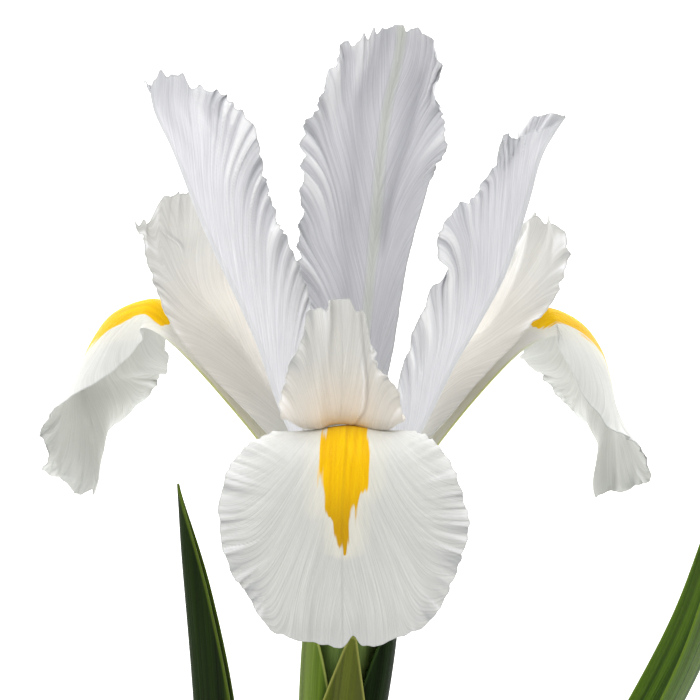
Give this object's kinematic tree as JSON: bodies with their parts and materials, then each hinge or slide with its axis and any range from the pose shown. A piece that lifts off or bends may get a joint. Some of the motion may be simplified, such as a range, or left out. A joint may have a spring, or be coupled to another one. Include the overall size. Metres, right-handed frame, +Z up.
{
  "type": "cut white dutch iris stem",
  "caption": "Cut white iris bloom with ruffled falls and standards, petal-like style arms, green spathe, stem and channelled leaves, lying on its back as a display or bouquet flower.",
  "frame": {"origin": "on the ground under the middle of the flower's bounding box", "axes": "+Z up, +Y from the cut end of the stem towards the top of the bloom, +X to the right of the bloom as its front is seen"},
  "size_m": [0.1244, 0.2934, 0.0799],
  "materials": {
    "petal": "matte",
    "style_petal": "matte",
    "stamen": "matte",
    "bract": "satin",
    "stem": "satin",
    "leaf": "satin"
  },
  "bodies": {
    "root": {"fall_front": "petal", "fall_left": "petal", "fall_right": "petal", "standard_left": "petal", "standard_right": "petal", "standard_back": "petal", "style": "style_petal", "stamen_front": "stamen", "stamen_left": "stamen", "stamen_right": "stamen", "ovary": "stem", "bract_left": "bract", "bract_right": "bract", "bract_front": "bract", "stem": "stem", "leaf_left": "leaf", "leaf_right": "leaf"}
  },
  "joints": []
}
